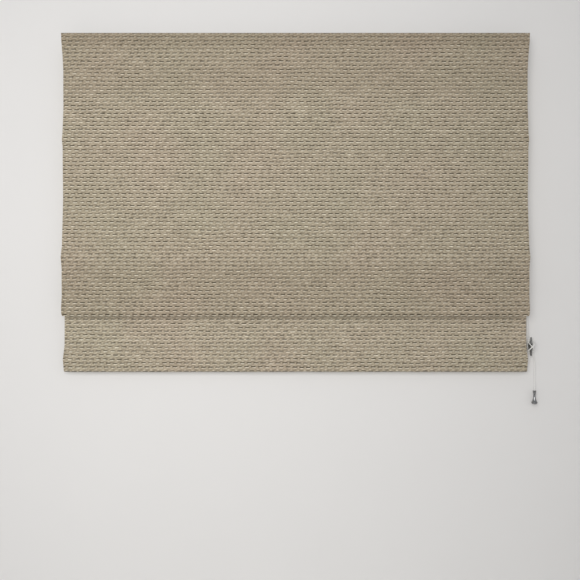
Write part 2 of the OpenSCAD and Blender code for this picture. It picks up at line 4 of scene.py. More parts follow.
import bpy
import numpy as np
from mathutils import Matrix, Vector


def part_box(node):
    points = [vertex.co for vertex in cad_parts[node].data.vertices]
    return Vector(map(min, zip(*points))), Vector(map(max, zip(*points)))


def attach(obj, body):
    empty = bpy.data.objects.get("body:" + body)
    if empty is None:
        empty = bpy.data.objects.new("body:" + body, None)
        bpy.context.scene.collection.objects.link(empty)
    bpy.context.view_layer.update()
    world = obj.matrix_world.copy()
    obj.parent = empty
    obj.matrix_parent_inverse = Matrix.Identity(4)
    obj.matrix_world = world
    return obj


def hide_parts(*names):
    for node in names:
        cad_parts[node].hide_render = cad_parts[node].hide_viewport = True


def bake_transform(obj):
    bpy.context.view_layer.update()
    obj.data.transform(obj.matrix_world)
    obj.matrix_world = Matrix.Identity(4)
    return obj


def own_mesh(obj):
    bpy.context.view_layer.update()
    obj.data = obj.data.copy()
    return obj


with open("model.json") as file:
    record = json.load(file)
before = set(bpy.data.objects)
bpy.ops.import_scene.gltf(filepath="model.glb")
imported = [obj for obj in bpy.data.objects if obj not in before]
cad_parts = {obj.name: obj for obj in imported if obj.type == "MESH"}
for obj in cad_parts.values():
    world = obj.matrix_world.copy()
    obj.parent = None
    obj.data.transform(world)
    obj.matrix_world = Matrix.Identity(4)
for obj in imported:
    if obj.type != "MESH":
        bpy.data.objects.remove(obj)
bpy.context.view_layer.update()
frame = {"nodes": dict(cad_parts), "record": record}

MM = 0.001

# Sizes of the cloth, as in the part's source
CLOTH_T = 1.4 * MM
RIDGE_H = 0.9 * MM
ROW_PITCH = 10.3 * MM
CLOTH_GAP = 0.3 * MM
LINING_T = 0.7 * MM
ROD_R = 2 * MM
FOLD_DROP = 149 * MM
FOLD_DEPTH = 15.4 * MM
FOLD_R = 2 * MM
HEM_R = 2.6 * MM
HEM_H = 31 * MM
POCKET_INNER_R = ROD_R + CLOTH_GAP
POCKET_R = POCKET_INNER_R + LINING_T
ROD_SEAT = CLOTH_GAP + LINING_T / 2 + POCKET_R
FULL_T = CLOTH_T + RIDGE_H
CREASE_R = FULL_T + CLOTH_GAP / 2

# How far the soft lip hangs below its place in the source
LIP_SAG = 2.2 * MM

rng = np.random.default_rng(7)


def centre(node):
    low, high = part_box(node)
    return (low + high) / 2


# Places read from the frame
cloth_low, cloth_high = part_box("face_fabric")
rods = {level: centre("rod_" + level) for level in ("top", "middle", "bottom")}
HALF_W = cloth_high.x
LINING_HALF_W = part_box("lining")[1].x
LINING_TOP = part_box("lining")[1].z
CLOTH_TOP = cloth_high.z
CORD_Y = rods["bottom"].y
TAPE_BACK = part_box("loop_tape")[0].y
CLOTH_BACK = TAPE_BACK - CLOTH_GAP
FOLD_Z = rods["middle"].z - FOLD_DROP - LIP_SAG + FOLD_R + FULL_T
CREASE_Z = rods["bottom"].z - CREASE_R - ROD_SEAT
HEM_Z = cloth_low.z + HEM_R + FULL_T
TOP_BACK = rods["top"].y - ROD_SEAT
MIDDLE_BACK = rods["middle"].y - ROD_SEAT
REAR_BACK = CORD_Y - CREASE_R
LIP_BACK = REAR_BACK - FOLD_DEPTH
FLAP_BACK = CORD_Y + CREASE_R


class ClothPath:
    """The fabric's back from its top edge to the end of its hem, as lines and arcs in depth and height."""

    def __init__(self):
        top, middle = rods["top"].z, rods["middle"].z
        hem_back = FLAP_BACK + 2 * HEM_R
        lip = np.array((LIP_BACK + FOLD_R, FOLD_Z))
        rear_top = np.array((REAR_BACK, CREASE_Z))
        rise = rear_top - lip
        lip_end = math.atan2(rise[1], rise[0]) - math.acos(FOLD_R / np.linalg.norm(rise))
        rear_foot = lip + FOLD_R * np.array((math.cos(lip_end), math.sin(lip_end)))
        stretches = {
            "upper": self.line((CLOTH_BACK, CLOTH_TOP), (TOP_BACK, top)),
            "middle": self.line((TOP_BACK, top), (MIDDLE_BACK, middle)),
            "lower": self.line((MIDDLE_BACK, middle), (LIP_BACK, FOLD_Z)),
            "lip": self.arc(lip, FOLD_R, 180, 360 + math.degrees(lip_end)),
            "rear": self.line(rear_foot, rear_top),
            "crease": self.arc((CORD_Y, CREASE_Z), CREASE_R, 180, 0),
            "flap": self.line((FLAP_BACK, CREASE_Z), (FLAP_BACK, HEM_Z)),
            "hem": self.arc((FLAP_BACK + HEM_R, HEM_Z), HEM_R, 180, 360),
            "turned": self.line((hem_back, HEM_Z), (hem_back, HEM_Z + HEM_H)),
        }
        self.pieces = list(stretches.values())
        self.starts = np.concatenate([[0], np.cumsum([p[0] for p in self.pieces])])
        self.start = dict(zip(stretches, self.starts))
        self.length = self.starts[-1]

    @staticmethod
    def line(a, b):
        a, b = np.array(a), np.array(b)
        return np.linalg.norm(b - a), "line", a, b

    @staticmethod
    def arc(middle, r, a0, a1):
        return r * math.radians(abs(a1 - a0)), "arc", np.array(middle), r, math.radians(a0), math.radians(a1)

    def at(self, s):
        """Points of the path and the ways to the fabric's face, for an array of lengths."""
        s = np.clip(np.asarray(s, float), 0, self.length)
        points = np.zeros(s.shape + (2,))
        ways = np.zeros(s.shape + (2,))
        index = np.clip(np.searchsorted(self.starts, s, "right") - 1, 0, len(self.pieces) - 1)
        for i, piece in enumerate(self.pieces):
            here = index == i
            t = ((s[here] - self.starts[i]) / piece[0])[:, None]
            if piece[1] == "line":
                a, b = piece[2:]
                d = (b - a) / piece[0]
                points[here] = a + t * (b - a)
                ways[here] = (d[1], -d[0])
            else:
                middle, r, a0, a1 = piece[2:]
                angle = a0 + t[:, 0] * (a1 - a0)
                ray = np.stack([np.cos(angle), np.sin(angle)], 1)
                points[here] = middle + r * ray
                ways[here] = ray * math.copysign(1, a1 - a0)
        return points, ways


path = ClothPath()

# Lengths along the cloth
S_TOP_ROD, S_MIDDLE_ROD = path.start["middle"], path.start["lower"]
S_LIP = path.start["lip"] + FOLD_R * math.pi / 2
S_CREASE = path.start["crease"] + CREASE_R * math.pi / 2
S_HEM = path.start["hem"]
S_HEM_END = path.length
S_LINING_TOP = CLOTH_TOP - LINING_TOP
S_LINING_END = S_HEM - HEM_H - CLOTH_GAP


def on_row(s):
    """The weave's row line nearest to a length, so that strips meet in a groove."""
    return round(s / ROW_PITCH) * ROW_PITCH


# Where the cloth is cut into strips, and where it is held flat
TOP_CUT, MIDDLE_CUT, CREASE_CUT = on_row(S_TOP_ROD), on_row(S_MIDDLE_ROD), on_row(S_CREASE)
FLAP_CUT = on_row(path.start["flap"] + CREASE_Z - FOLD_Z)
HOLDS = (0, TOP_CUT, MIDDLE_CUT, S_LIP, CREASE_CUT, S_HEM, S_HEM_END)


def link(obj):
    bpy.context.scene.collection.objects.link(obj)
    return obj


def new_mesh(name, verts, faces, material, smooth=True):
    mesh = bpy.data.meshes.new(name)
    mesh.from_pydata(np.asarray(verts).tolist(), [], [list(map(int, f)) for f in faces])
    mesh.validate()
    mesh.polygons.foreach_set("use_smooth", [smooth] * len(mesh.polygons))
    mesh.materials.append(material)
    return link(bpy.data.objects.new(name, mesh))


# Materials

class Nodes:
    """A material's node tree, with short calls to add and join nodes."""

    def __init__(self, name):
        self.material = bpy.data.materials.new(name)
        self.material.use_nodes = True
        self.tree = self.material.node_tree
        self.shader = self.tree.nodes["Principled BSDF"]

    def add(self, kind, **sockets):
        node = self.tree.nodes.new(kind)
        for key, value in sockets.items():
            self.put(node.inputs[key], value)
        return node

    def put(self, socket, value):
        if isinstance(value, bpy.types.NodeSocket):
            self.tree.links.new(value, socket)
        else:
            socket.default_value = value

    def set(self, **sockets):
        for key, value in sockets.items():
            self.put(self.shader.inputs[key.replace("_", " ")], value)

    def attribute(self, name):
        node = self.add("ShaderNodeAttribute")
        node.attribute_name = name
        return node.outputs["Fac"]

    def math(self, operation, *values):
        node = self.tree.nodes.new("ShaderNodeMath")
        node.operation = operation
        for socket, value in zip(node.inputs, values):
            self.put(socket, value)
        return node.outputs[0]

    def place(self, stretch):
        coords = self.tree.nodes.new("ShaderNodeTexCoord")
        mapping = self.add("ShaderNodeMapping", Vector=coords.outputs["Object"])
        mapping.inputs["Scale"].default_value = stretch
        return mapping.outputs["Vector"]

    def noise(self, scale, detail=3.0, stretch=(1, 1, 1)):
        node = self.add("ShaderNodeTexNoise", Vector=self.place(stretch), Scale=scale, Detail=detail)
        return node.outputs["Fac"]

    def ramp(self, fac, *stops):
        node = self.add("ShaderNodeValToRGB", Fac=fac)
        elements = node.color_ramp.elements
        while len(elements) < len(stops):
            elements.new(1)
        for element, (where, colour) in zip(elements, stops):
            element.position = where
            element.color = (*colour, 1)
        return node.outputs["Color"]

    def mix(self, fac, a, b, mode="MIX"):
        """Mixes two colours, which are inputs 6 and 7 of the node, with its output 2 as the result."""
        node = self.tree.nodes.new("ShaderNodeMix")
        node.data_type = "RGBA"
        node.blend_type = mode
        self.put(node.inputs[0], fac)
        self.put(node.inputs[6], a if isinstance(a, bpy.types.NodeSocket) else (*a, 1))
        self.put(node.inputs[7], b if isinstance(b, bpy.types.NodeSocket) else (*b, 1))
        return node.outputs[2]

    def bump(self, height, distance, strength=1.0):
        node = self.add("ShaderNodeBump", Height=height, Distance=distance, Strength=strength)
        self.set(Normal=node.outputs["Normal"])


def woven_cloth():
    n = Nodes("woven_cloth")
    # The tone's pale end is the floats' painted highlight
    tone = n.ramp(
        n.attribute("tone"),
        (0.0, (0.25, 0.205, 0.15)), (0.4, (0.39, 0.332, 0.252)), (1.0, (0.82, 0.75, 0.63)),
    )
    streak = n.noise(1.0, 4.0, (190, 300, 700))
    fibre = n.ramp(streak, (0.34, (0.72, 0.705, 0.68)), (0.66, (1.27, 1.27, 1.27)))
    patch = n.ramp(n.noise(5.0, 2.0), (0.3, (0.98, 1.0, 0.96)), (0.7, (1.03, 1.0, 0.98)))
    colour = n.mix(1.0, tone, fibre, "MULTIPLY")
    colour = n.mix(1.0, colour, patch, "MULTIPLY")
    # The painted shadow in the weave's gaps, a near-black colour
    colour = n.mix(n.attribute("gap"), colour, (0.056, 0.044, 0.026))
    n.set(Base_Color=colour, Roughness=0.92, Sheen_Weight=0.08, Sheen_Roughness=0.6, Specular_IOR_Level=0.15)
    n.bump(streak, 0.6 * MM)
    return n.material


def lining_cloth():
    n = Nodes("lining_cloth")
    threads = n.noise(1.0, 2.0, (900, 900, 2600))
    colour = n.ramp(threads, (0.3, (0.70, 0.665, 0.59)), (0.7, (0.80, 0.77, 0.70)))
    n.set(Base_Color=colour, Roughness=0.9, Sheen_Weight=0.05, Specular_IOR_Level=0.15)
    n.bump(threads, 0.2 * MM)
    return n.material


def tape_pile():
    n = Nodes("tape_pile")
    pile = n.noise(2500.0, 3.0)
    n.set(Base_Color=n.ramp(pile, (0.3, (0.72, 0.72, 0.70)), (0.7, (0.86, 0.86, 0.84))), Roughness=0.95)
    n.bump(pile, 0.4 * MM)
    return n.material


def braided_cord():
    n = Nodes("braided_cord")
    braid = n.tree.nodes.new("ShaderNodeTexWave")
    braid.wave_type = "BANDS"
    braid.bands_direction = "DIAGONAL"
    n.put(braid.inputs["Vector"], n.place((1, 1, 1)))
    n.put(braid.inputs["Scale"], 260.0)
    n.put(braid.inputs["Distortion"], 1.5)
    colour = n.ramp(braid.outputs["Fac"], (0.0, (0.66, 0.64, 0.60)), (0.6, (0.86, 0.85, 0.82)))
    n.set(Base_Color=colour, Roughness=0.8, Specular_IOR_Level=0.25)
    n.bump(braid.outputs["Fac"], 0.3 * MM)
    return n.material


def metal(name, dark, light, roughness, spread, grain, stretch=(1, 1, 1)):
    n = Nodes(name)
    marks = n.noise(grain, 4.0, stretch)
    rough = n.math("MULTIPLY_ADD", marks, spread, roughness)
    n.set(Base_Color=n.ramp(marks, (0.3, dark), (0.7, light)), Metallic=1.0, Roughness=rough)
    n.bump(marks, 0.04 * MM, 0.5)
    return n.material


def plastic(name, dark, light, roughness):
    n = Nodes(name)
    grain = n.noise(900.0, 3.0)
    n.set(Base_Color=n.ramp(n.noise(40.0), (0.3, dark), (0.7, light)), Roughness=roughness)
    n.bump(grain, 0.05 * MM)
    return n.material


def clear_plastic():
    n = Nodes("clear_plastic")
    cloud = n.noise(300.0, 2.0)
    n.set(
        Base_Color=n.ramp(cloud, (0.3, (0.80, 0.83, 0.83)), (0.7, (0.90, 0.92, 0.92))),
        Roughness=0.22, Transmission_Weight=0.55, IOR=1.46,
    )
    n.bump(cloud, 0.03 * MM)
    return n.material


MATERIALS = {
    "woven_cloth": woven_cloth(),
    "lining": lining_cloth(),
    "tape": tape_pile(),
    "white_cord": braided_cord(),
    "aluminium": metal(
        "satin_aluminium", (0.68, 0.68, 0.69), (0.80, 0.80, 0.80), 0.30, 0.16, 1.0, (4, 900, 900),
    ),
    "zinc_steel": metal("zinc_steel", (0.50, 0.51, 0.52), (0.66, 0.67, 0.68), 0.34, 0.2, 180.0),
    "satin_metal": metal("satin_metal", (0.12, 0.118, 0.112), (0.20, 0.197, 0.19), 0.30, 0.15, 500.0),
    "chrome": metal("chrome", (0.22, 0.22, 0.22), (0.30, 0.30, 0.30), 0.12, 0.08, 300.0),
    "white_plastic": plastic("white_plastic", (0.78, 0.78, 0.77), (0.86, 0.86, 0.85), 0.45),
    "clear_plastic": clear_plastic(),
    "rod": plastic("rod", (0.74, 0.73, 0.64), (0.84, 0.83, 0.75), 0.5),
}


def dress_nodes():
    """Each CAD node takes the material of its slot in the record."""
    for part in frame["record"]["subparts"]:
        slots = frame["nodes"][part["node"]].data.materials
        slots.clear()
        slots.append(MATERIALS[part["material_slot"]])


# The woven face: rows of cells between short upright bars, each cell with a gap at its top, painted dark as
# its shadow, a float below it with a painted highlight and a faint second gap at its foot with painted shade

BRICKS = 66
BRICK_STEPS = 6
ROW_MARKS = np.array([0.0, 0.08, 0.17, 0.26, 0.38, 0.60, 0.80])
GAP_AT, GAP_W = 0.06, 0.125
FLOAT_AT, FLOAT_W = 0.245, 0.075
FAINT_AT, FAINT_W = 0.76, 0.17
BAR_HALF, BAR_SOFT = 0.10, 0.14
FLOAT_EDGE = 0.18
ROW_EDGE = 1e-6
ROW_STAGGER, STAGGER_SPREAD = 0.5, 0.08

# Heights of the yarns and gaps as shares of the ridge's height, and the most that they reach together
GROUND_H, FLOAT_H, BAR_H, GAP_H, FAINT_H = 0.55, 0.35, 0.25, 0.55, 0.20
MOST_H = 1.15

# Tones of the yarns with the floats' painted highlight, how the bars are ribbed, and how dark the painted
# shade in the faint gap is
GROUND_TONE, FLOAT_HIGHLIGHT = 0.29, 1.9
BAR_TONE, BAR_RIB, RIB_SHIFT = 0.09, 0.14, 0.12
FAINT_SHADE = 0.36

ROWS = int(S_HEM_END / ROW_PITCH) + 2


def per_cell(low, high):
    """A seeded value for each cell, with a row and some cells to spare for the shifted rows."""
    return rng.uniform(low, high, (ROWS + 1, BRICKS + 3))


row_shift = ROW_STAGGER * (np.arange(ROWS + 1) % 2)
row_shift += rng.uniform(-STAGGER_SPREAD, STAGGER_SPREAD, ROWS + 1)
cell_tone = per_cell(-0.04, 0.04)
cell_lift = per_cell(-0.10, 0.10)
cell_gap = per_cell(0.8, 1.65)
cell_float = per_cell(0.55, 1.65)
cell_faint = per_cell(0.2, 1.2)


def smooth_step(t):
    t = np.clip(t, 0, 1)
    return t * t * (3 - 2 * t)


def slow_field(count, x_span, s_span):
    """A seeded field of slow waves over the cloth, with a spread of about 1. The spans are the shortest
    and the longest wave across and down the cloth, in metres."""
    across = 2 * math.pi / rng.uniform(*x_span, count) * rng.choice([-1, 1], count)
    down = 2 * math.pi / rng.uniform(*s_span, count)
    phase = rng.uniform(0, 2 * math.pi, count)

    def field(x, s):
        waves = (np.sin(a * x + b * s + p) for a, b, p in zip(across, down, phase))
        return sum(waves) / math.sqrt(count / 2)

    return field


row_wobble = slow_field(14, (0.07, 0.30), (0.05, 0.20))
cell_wobble = slow_field(14, (0.10, 0.40), (0.03, 0.12))
contrast_field = slow_field(14, (0.05, 0.25), (0.03, 0.15))
bulge_field = slow_field(10, (0.25, 0.90), (0.20, 0.60))

# How far rows and cells wander, how the weave's contrast varies, and where shade is painted darker and light
# painted paler on the cloth
ROW_WOBBLE = 0.5 * MM
CELL_WOBBLE = 1.4 * MM
CONTRAST_SPREAD = 0.10
HEM_CONTRAST, HEM_REACH = 0.35, 18 * MM
# Painted shade that darkens the top rows and the upper band
TOP_PAINTED_SHADE, TOP_REACH, TOP_FADE = 0.12, 40 * MM, 18 * MM
UPPER_PAINTED_SHADE, UPPER_REACH, UPPER_FADE = 0.07, 190 * MM, 80 * MM
# Painted shade that darkens the fold, and painted light that makes the flap paler
FOLD_PAINTED_SHADE, FLAP_PAINTED_LIGHT, FOLD_FADE = 0.09, 0.05, 25 * MM
BULGE = 0.7 * MM


def painted_shade(s):
    """How much painted shade darkens the yarn's tone at a length: it is painted darker near the top and in
    the fold, and painted light makes the flap paler."""
    top = TOP_PAINTED_SHADE * smooth_step((TOP_REACH - s) / TOP_FADE)
    upper = UPPER_PAINTED_SHADE * smooth_step((UPPER_REACH - s) / UPPER_FADE)
    # Painted shade in the fold, turned into painted light in the flap
    into_fold = smooth_step((s - MIDDLE_CUT) / FOLD_FADE)
    into_flap = smooth_step((s - S_LIP) / (CREASE_CUT - S_LIP))
    return top + upper + FOLD_PAINTED_SHADE * into_fold - (FOLD_PAINTED_SHADE + FLAP_PAINTED_LIGHT) * into_flap


def weave(u, v, contrast):
    """Height share, painted shadow of the gaps and tone of the yarn with the floats' painted highlight at
    cells u and rows v.
    """
    row = np.clip(np.floor(v + ROW_EDGE).astype(int), 0, ROWS - 1)
    down = np.clip(v - row, 0, 1)
    along = u + row_shift[row]
    cell = np.floor(along).astype(int)
    edge = np.minimum(along - cell, 1 - along + cell)
    inside = smooth_step((edge - BAR_HALF) / BAR_SOFT)
    amid = smooth_step((edge - FLOAT_EDGE) / BAR_SOFT)

    def line(at, width):
        return np.exp(-((down - at) / width) ** 2)

    gap = inside * line(GAP_AT, GAP_W) * cell_gap[row, cell] * contrast
    float_yarn = amid * line(FLOAT_AT, FLOAT_W) * cell_float[row, cell] * contrast
    faint = inside * line(FAINT_AT, FAINT_W) * cell_faint[row, cell] * contrast
    bar = 1 - inside
    height = GROUND_H + FLOAT_H * float_yarn + BAR_H * bar + cell_lift[row, cell]
    height = height - GAP_H * gap - FAINT_H * faint
    # Painted shadow in the gaps and painted shade in the faint gaps
    dark = np.clip(gap + FAINT_SHADE * faint, 0, 1)
    rib = BAR_TONE + BAR_RIB * np.cos(2 * math.pi * (down + RIB_SHIFT))
    # The floats' painted highlight lightens the tone
    tone = GROUND_TONE + FLOAT_HIGHLIGHT * float_yarn + bar * rib + cell_tone[row, cell]
    return np.clip(height, 0, MOST_H), dark, np.clip(tone, 0, 1)


# How far the cloth's side stands out of a straight edge, in millimetres, by length along the cloth
EDGE_STATIONS = np.array([
    (0.0, 1.2), (0.02, 0.6), (0.06, -3.0), (0.35 * S_TOP_ROD, -4.8), (0.7 * S_TOP_ROD, -4.4),
    (S_TOP_ROD - 0.02, -2.0), (S_TOP_ROD, -0.2), (S_TOP_ROD + 0.02, -2.4), (S_TOP_ROD + 0.15, -4.4),
    (S_MIDDLE_ROD - 0.03, -1.4), (S_MIDDLE_ROD, 1.8), (S_MIDDLE_ROD + 0.03, -1.0), (S_LIP - 0.05, -1.4),
    (S_LIP - 0.022, 0.4), (S_LIP - 0.008, 0.2), (S_LIP - 0.003, -0.6), (S_LIP + 0.003, -2.5),
    (S_CREASE, -2.5), (S_CREASE + 0.20, -2.0), (S_HEM - 0.028, 2.8), (S_HEM, 0.6), (S_HEM_END, -2.0),
])


def side_at(s):
    return np.interp(s, EDGE_STATIONS[:, 0], EDGE_STATIONS[:, 1] * MM)


MARK_ROOM = 0.4 * MM
BEND_STEPS = 10


def bend_marks():
    arcs = [i for i, piece in enumerate(path.pieces) if piece[1] == "arc"]
    return np.concatenate([np.linspace(path.starts[i], path.starts[i + 1], BEND_STEPS + 1) for i in arcs])


def spaced(marks, s0, s1):
    """The marks between two ends in order, without those that lie too close together."""
    kept = [s0]
    for mark in np.sort(marks):
        if mark - kept[-1] > MARK_ROOM and mark < s1 - MARK_ROOM:
            kept.append(mark)
    return np.array(kept + [s1])


def strip_marks(s0, s1):
    """Lengths along the cloth where a strip has rows of points, on the weave's own marks and in its bends."""
    rows = np.arange(math.floor(s0 / ROW_PITCH), math.ceil(s1 / ROW_PITCH) + 1)
    marks = ((rows[:, None] + ROW_MARKS[None]) * ROW_PITCH).ravel()
    return spaced(np.concatenate([marks, bend_marks()]), s0, s1)


BULGE_FADE = 60 * MM
WOBBLE_FADE = 30 * MM


def ends_fade(s, s0, s1):
    """0 at a strip's two ends and 1 well inside it."""
    return smooth_step(np.minimum(s - s0, s1 - s) / WOBBLE_FADE)


def bulge(x, s):
    """How far the cloth swells out of its flat path between the places that hold it."""
    free = np.min([np.abs(s - hold) for hold in HOLDS], axis=0)
    return BULGE * (1 + np.tanh(bulge_field(x, s))) * smooth_step(free / BULGE_FADE)


def grid_faces(rows, columns, start, flip):
    i, j = np.meshgrid(np.arange(rows - 1), np.arange(columns - 1), indexing="ij")
    a = start + i * columns + j
    quads = np.stack([a, a + columns, a + columns + 1, a + 1], -1).reshape(-1, 4)
    return quads[:, ::-1] if flip else quads


def fan_edge(fine, coarse, kept):
    """Faces between an edge of many points and one that keeps only some of them."""
    faces = []
    for k in range(len(kept) - 1):
        low, high = kept[k], kept[k + 1]
        half = (low + high) // 2
        faces += [(fine[m], fine[m + 1], coarse[k]) for m in range(low, half)]
        faces.append((fine[half], coarse[k + 1], coarse[k]))
        faces += [(fine[m], fine[m + 1], coarse[k + 1]) for m in range(half, high)]
    return faces


EDGE_COLUMN = 0.9 * MM
EDGE_R = 1.3 * MM
EDGE_LEFT = 0.25
SIDE_HEM_W = 25.5 * MM
SIDE_HEM_T = 0.45 * MM
SIDE_HEM_COLUMNS = 11
TURNED_LEAST = 0.2

inner_share = np.linspace(-1, 1, BRICKS * BRICK_STEPS + 1)
near_edge = 1 - EDGE_COLUMN / HALF_W
SHARE = np.concatenate([[-1, -near_edge], inner_share[1:-1], [near_edge, 1]])
ALL_COLUMNS = np.arange(len(SHARE))
LINED_COLUMNS = np.concatenate([
    ALL_COLUMNS[:SIDE_HEM_COLUMNS],
    ALL_COLUMNS[SIDE_HEM_COLUMNS:-SIDE_HEM_COLUMNS:2 * BRICK_STEPS],
    ALL_COLUMNS[-SIDE_HEM_COLUMNS:],
])


def face_strip(name, s0, s1, woven_back=False):
    """A closed strip of the face fabric: its woven face, its back with a turned hem at each side,
    and its edges. A woven back shows the weave all over, for cloth that turns its back when it unfolds."""
    back_columns = ALL_COLUMNS if woven_back else LINED_COLUMNS
    grid_s, share = np.meshgrid(strip_marks(s0, s1), SHARE, indexing="ij")
    inset = (1 - np.abs(share)) * HALF_W
    x_flat = share * HALF_W
    near_hem = smooth_step(1 - np.abs(grid_s - S_HEM + HEM_REACH / 2) / HEM_REACH)
    contrast = 1 + CONTRAST_SPREAD * contrast_field(x_flat, grid_s) + HEM_CONTRAST * near_hem
    # gap carries the painted shadow of the gaps, and tone carries the floats' painted highlight
    height, gap, tone = weave((share + 1) / 2 * BRICKS, grid_s / ROW_PITCH, contrast)
    # Painted shade near the top and in the fold, and painted light in the flap, change the yarn's tone
    tone = np.clip(tone - painted_shade(grid_s), 0, 1)
    s = grid_s + ROW_WOBBLE * row_wobble(x_flat, grid_s) * ends_fade(grid_s, s0, s1)
    x = share * (HALF_W + side_at(s))
    x = x + CELL_WOBBLE * cell_wobble(x_flat, grid_s) * smooth_step(inset / WOBBLE_FADE)
    points, ways = (a.reshape(s.shape + (2,)) for a in path.at(s.ravel()))
    swell = bulge(x_flat, s)
    roundness = EDGE_LEFT + (1 - EDGE_LEFT) * np.sqrt(1 - np.clip(1 - inset / EDGE_R, 0, 1) ** 2)
    middle = CLOTH_T / 2
    front = middle + (middle + RIDGE_H * height) * roundness
    turned = np.where((inset < SIDE_HEM_W) | woven_back, SIDE_HEM_T * np.clip(height, TURNED_LEAST, 1), 0)
    rear = middle - (middle + turned) * roundness

    def layer(out):
        return np.stack([x, points[..., 0] + ways[..., 0] * (out + swell),
                         points[..., 1] + ways[..., 1] * (out + swell)], -1)

    face = layer(front)
    back = layer(rear)[:, back_columns]
    rows, columns = face.shape[:2]
    start = rows * columns
    front_index = np.arange(start).reshape(rows, columns)
    back_index = start + np.arange(rows * len(back_columns)).reshape(rows, -1)
    faces = grid_faces(rows, columns, 0, True).tolist()
    faces += grid_faces(rows, len(back_columns), start, False).tolist()
    faces += fan_edge(front_index[0], back_index[0], back_columns)
    faces += [f[::-1] for f in fan_edge(front_index[-1], back_index[-1], back_columns)]
    for column, flip in ((0, True), (-1, False)):
        f, b = front_index[:, column], back_index[:, column]
        side = np.stack([f[:-1], f[1:], b[1:], b[:-1]], -1)
        faces += (side[:, ::-1] if flip else side).tolist()
    verts = np.concatenate([face.reshape(-1, 3), back.reshape(-1, 3)])
    piece = new_mesh(name, verts, faces, MATERIALS["woven_cloth"])
    for key, values in (("gap", gap), ("tone", tone)):
        attribute = piece.data.attributes.new(key, "FLOAT", "POINT")
        both = np.concatenate([values.ravel(), values[:, back_columns].ravel()])
        attribute.data.foreach_set("value", both.astype(np.float32))
    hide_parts("face_fabric")
    return piece


STITCH_L, STITCH_R, STITCH_PITCH = 3.0 * MM, 0.32 * MM, 4.2 * MM
STITCH_SIDES = 5
SEAM_INSET = 5 * MM


def stitches(points, along, out):
    """Points and faces of short spindles of thread, which lie along a seam and stand out of its cloth."""
    side = np.cross(along, out)
    angle = np.linspace(0, 2 * math.pi, STITCH_SIDES, endpoint=False)[None, :, None]
    ring = points[:, None] + STITCH_R * (np.cos(angle) * side[:, None] + np.sin(angle) * out[:, None])
    tips = [points - along * STITCH_L / 2, points + along * STITCH_L / 2]
    verts = np.concatenate([tips[0][:, None], ring, tips[1][:, None]], 1)
    faces = []
    for first in range(0, len(points) * (STITCH_SIDES + 2), STITCH_SIDES + 2):
        for k in range(STITCH_SIDES):
            a, b = first + 1 + k, first + 1 + (k + 1) % STITCH_SIDES
            faces += [(first, b, a), (first + STITCH_SIDES + 1, a, b)]
    return verts.reshape(-1, 3), faces


def side_seams(s0, s1):
    """Stitches down both sides of the lining, on its back."""
    marks = np.arange(s0 + STITCH_L, s1 - STITCH_L, STITCH_PITCH)
    points, ways = path.at(np.tile(marks, 2))
    x = np.repeat([SEAM_INSET - LINING_HALF_W, LINING_HALF_W - SEAM_INSET], len(marks))
    swell = bulge(x, np.tile(marks, 2))
    line = points + ways * (swell - CLOTH_GAP - LINING_T)[:, None]
    level = np.zeros((len(x), 1))
    along = np.concatenate([level, -ways[:, 1:], ways[:, :1]], 1)
    return stitches(np.concatenate([x[:, None], line], 1), along, np.concatenate([level, -ways], 1))


def cross_seam(s):
    """A row of stitches across the lining, on its back."""
    x = np.arange(STITCH_L - LINING_HALF_W, LINING_HALF_W - STITCH_L, STITCH_PITCH)
    points, ways = path.at(np.full(len(x), s))
    line = points + ways * (bulge(x, np.full(len(x), s)) - CLOTH_GAP - LINING_T)[:, None]
    level = np.zeros((len(x), 1))
    along = np.tile((1.0, 0.0, 0.0), (len(x), 1))
    return stitches(np.concatenate([x[:, None], line], 1), along, np.concatenate([level, -ways], 1))


LINING_STEP = 6 * MM
LINING_COLUMNS = 81


def lining_strip(name, s0, s1):
    """A closed strip of the lining, just behind the fabric."""
    marks = spaced(np.concatenate([np.arange(s0, s1, LINING_STEP), bend_marks()]), s0, s1)
    count = len(marks)
    s, x = np.meshgrid(marks, np.linspace(-LINING_HALF_W, LINING_HALF_W, LINING_COLUMNS), indexing="ij")
    points, ways = (a.reshape(s.shape + (2,)) for a in path.at(s.ravel()))
    swell = bulge(x, s)
    layers = []
    for out in (-CLOTH_GAP, -CLOTH_GAP - LINING_T):
        line = points + ways * (out + swell)[..., None]
        layers.append(np.concatenate([x[..., None], line], -1).reshape(-1, 3))
    start = count * LINING_COLUMNS
    near = np.arange(start).reshape(count, LINING_COLUMNS)
    faces = grid_faces(count, LINING_COLUMNS, 0, True).tolist()
    faces += grid_faces(count, LINING_COLUMNS, start, False).tolist()
    rim = np.concatenate([near[0], near[1:, -1], near[-1, -2::-1], near[-2:0:-1, 0]])
    after = np.roll(rim, -1)
    faces += np.stack([rim, after, after + start, rim + start], -1).tolist()
    thread, thread_faces = side_seams(s0, s1)
    faces += (np.array(thread_faces) + 2 * start).tolist()
    piece = new_mesh(name, np.concatenate(layers + [thread]), faces, MATERIALS["lining"])
    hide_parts("lining")
    return piece


POCKET_SIDES = 32
POCKET_COLUMNS = 61


